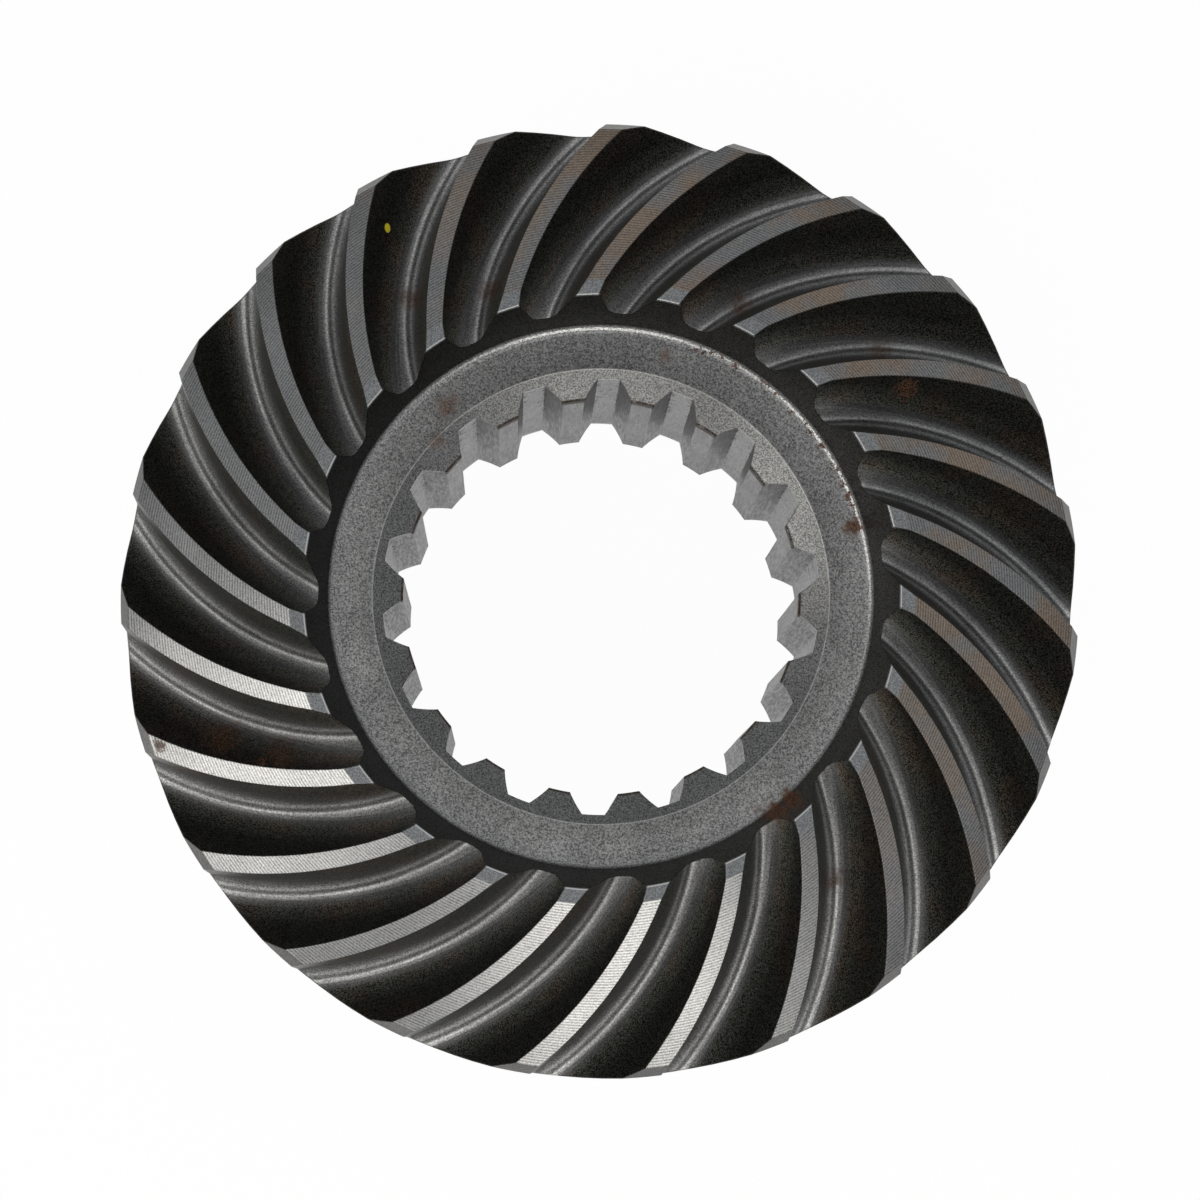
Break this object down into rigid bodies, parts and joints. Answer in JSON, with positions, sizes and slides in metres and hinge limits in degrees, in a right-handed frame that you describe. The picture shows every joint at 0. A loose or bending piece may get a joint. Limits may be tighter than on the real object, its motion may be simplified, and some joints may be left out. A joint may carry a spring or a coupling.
{
  "type": "spiral bevel gear",
  "caption": "Steel spiral bevel gear with curved teeth on a shallow cone, a recessed front ring, a splined through bore and a plain bearing hub behind.",
  "frame": {"origin": "centre of the bore, on the flat back end of the hub", "axes": "+Z along the bore axis, towards the toothed side; +X through the middle of a tooth slot"},
  "size_m": [0.2196, 0.2196, 0.0997],
  "materials": {
    "gear_steel": "bare machined steel, dark tooth flanks, matt blasted ring, light rust"
  },
  "bodies": {
    "root": {"spiral_bevel_gear": "gear_steel"}
  },
  "joints": []
}
